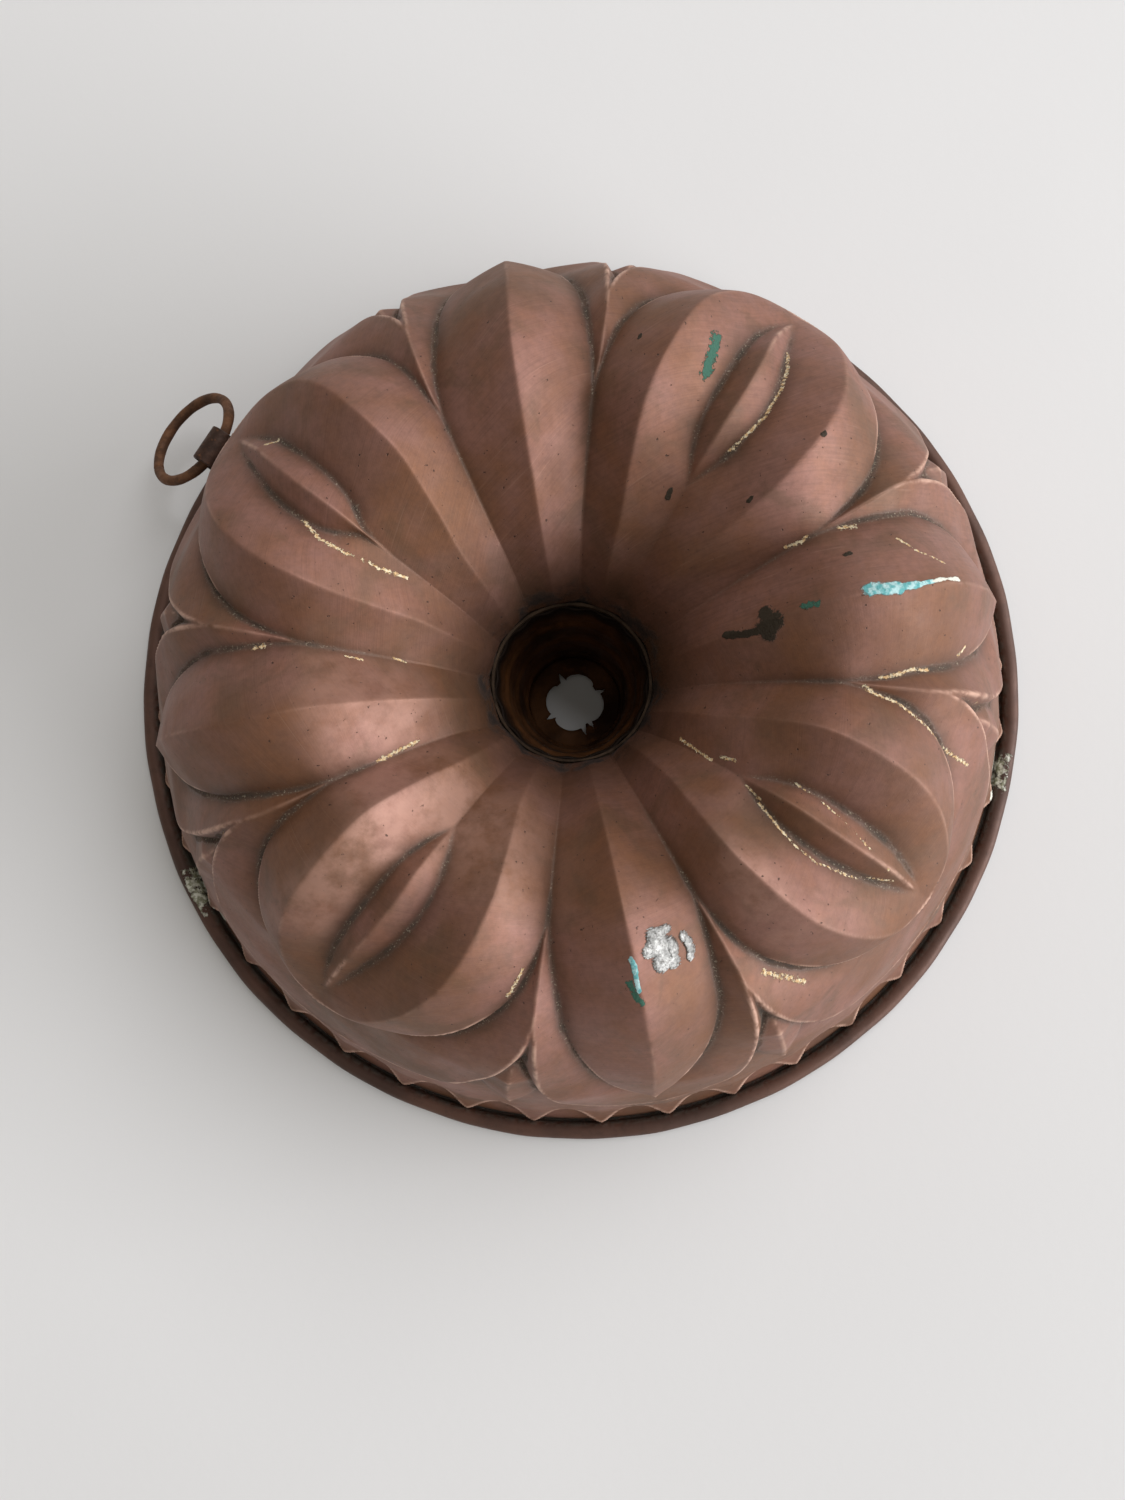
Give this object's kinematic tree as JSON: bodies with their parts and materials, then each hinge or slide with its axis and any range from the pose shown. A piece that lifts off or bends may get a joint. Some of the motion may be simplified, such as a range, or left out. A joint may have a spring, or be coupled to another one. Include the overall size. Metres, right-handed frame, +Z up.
{
  "type": "bundt pan",
  "caption": "Fluted ring-cake mould in old copper, with pointed petals, a tapered centre tube, a rolled rim and a hanging ring in a strap lug.",
  "frame": {"origin": "middle of the rim, on the plane the upturned mould stands on", "axes": "+Z up from the rim to the crown, along the rim's axis; plain petals on +X, +Y, -X and -Y, the strap lug at about 137 degrees from +X towards +Y"},
  "size_m": [0.25, 0.25, 0.0881],
  "materials": {
    "old_copper": "oxidised brown-pink copper, worn satin",
    "rim_copper": "dark oxidised copper",
    "tube_copper": "dark brown, tarnished",
    "strap_metal": "dark brown, tarnished sheet",
    "iron": "rusted wire",
    "solder": "tin solder, lumpy and bright"
  },
  "bodies": {
    "mould": {"fluted_body": "old_copper", "rim_bead": "rim_copper", "rim_wire": "iron", "centre_tube": "tube_copper", "tube_end": "tube_copper", "tube_solder": "solder", "ring_strap": "strap_metal", "strap_rivets": "strap_metal", "repair_solder": "solder"},
    "ring": {"hanging_ring": "iron"}
  },
  "joints": [
    {"name": "ring_swing", "type": "hinge", "parent": "mould", "child": "ring", "pos_m": [-0.08434, 0.07906, 0.028], "axis": [0.6839, 0.7296, 0], "range_deg": [-28, 115]}
  ]
}
